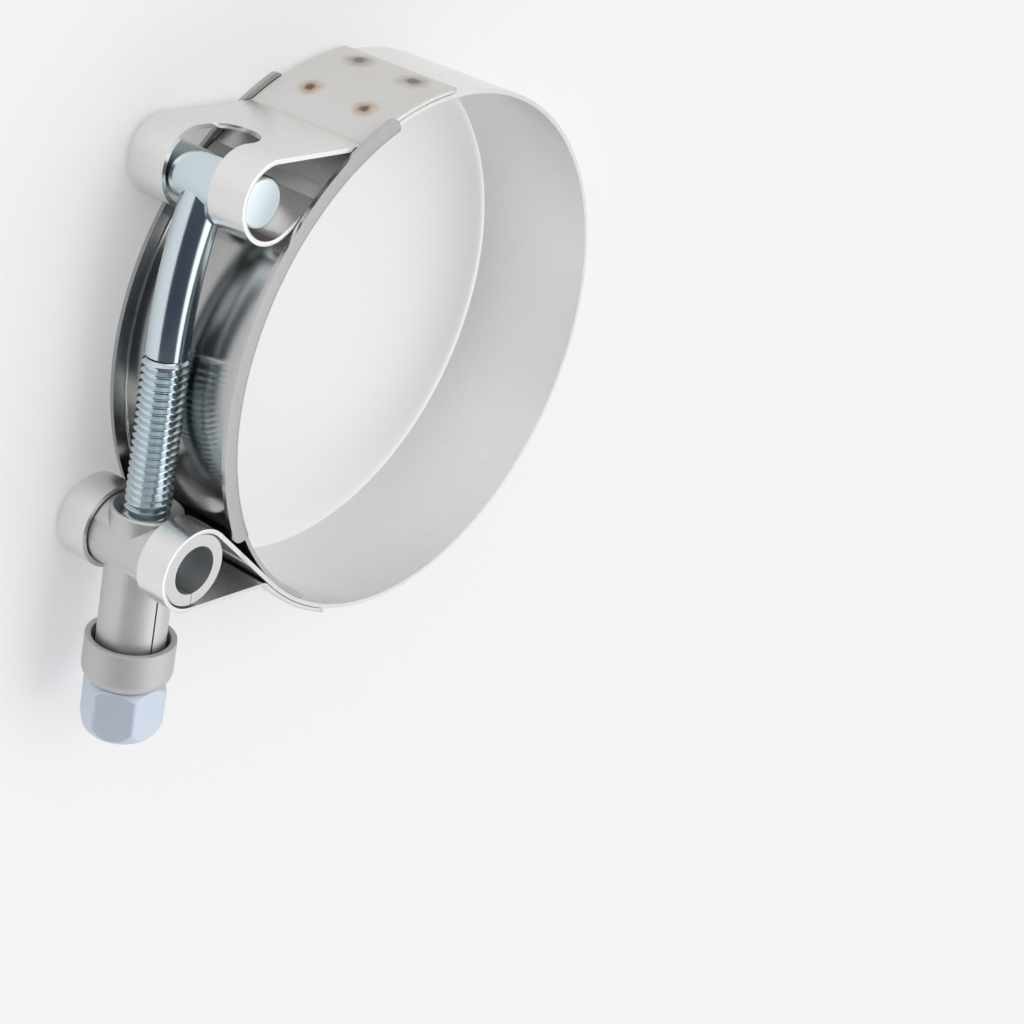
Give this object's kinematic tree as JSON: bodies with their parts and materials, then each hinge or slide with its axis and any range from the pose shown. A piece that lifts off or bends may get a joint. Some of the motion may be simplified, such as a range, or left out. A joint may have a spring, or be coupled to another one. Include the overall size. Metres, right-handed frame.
{
  "type": "t bolt clamp",
  "caption": "Open sheet steel band clamp: a ring with two folded end loops, a sliding bridge under the gap, and a bent cross-head bolt drawn through a swivelling trunnion by a lock nut.",
  "frame": {"origin": "middle of the clamp's bore, half-way along the band's width", "axes": "+Z along the clamp's axis, -Y towards the bolt, +X from the cross head towards the nut"},
  "size_m": [0.0903, 0.0821, 0.0204],
  "materials": {
    "band_steel": "satin stainless sheet with heat tint round its spot welds",
    "bridge_steel": "bright stainless sheet",
    "bolt_zinc": "bright zinc plate with a faint blue-green cast",
    "trunnion_steel": "polished stainless sheet",
    "sleeve_steel": "flat grey pressed steel",
    "nut_zinc": "satin zinc plate with a faint blue cast",
    "insert_plastic": "dark locking ring"
  },
  "bodies": {
    "band": {"band": "band_steel"},
    "bridge": {"bridge": "bridge_steel"},
    "t_bolt": {"t_bolt": "bolt_zinc"},
    "trunnion": {"trunnion": "trunnion_steel", "sleeve": "sleeve_steel"},
    "nut": {"lock_nut": "nut_zinc", "nut_insert": "insert_plastic"}
  },
  "joints": [
    {"name": "band_close", "type": "hinge", "parent": "band", "child": "bridge", "pos_m": [0, 0, 0], "axis": [0, 0, 1], "range_deg": [0, 24], "deforming": ["band"]},
    {"name": "bolt_swing", "type": "hinge", "parent": "bridge", "child": "t_bolt", "pos_m": [-0.02405, -0.03868, 0], "axis": [0, 0, 1], "range_deg": [-10, 0]},
    {"name": "trunnion_swing", "type": "hinge", "parent": "band", "child": "trunnion", "pos_m": [0.02405, -0.03868, 0], "axis": [0, 0, 1], "range_deg": [0, 14.2]},
    {"name": "nut_turn", "type": "hinge", "parent": "trunnion", "child": "nut", "pos_m": [0.02405, -0.03868, 0], "axis": [-0.9973, -0.0732, 0], "range_deg": [0, 6190]}
  ],
  "couplings": [
    {"joint": "band_close", "follows": "nut_turn", "ratio": 0.0038771},
    {"joint": "bolt_swing", "follows": "nut_turn", "ratio": -0.0015974},
    {"joint": "trunnion_swing", "follows": "nut_turn", "ratio": 0.0022797}
  ]
}
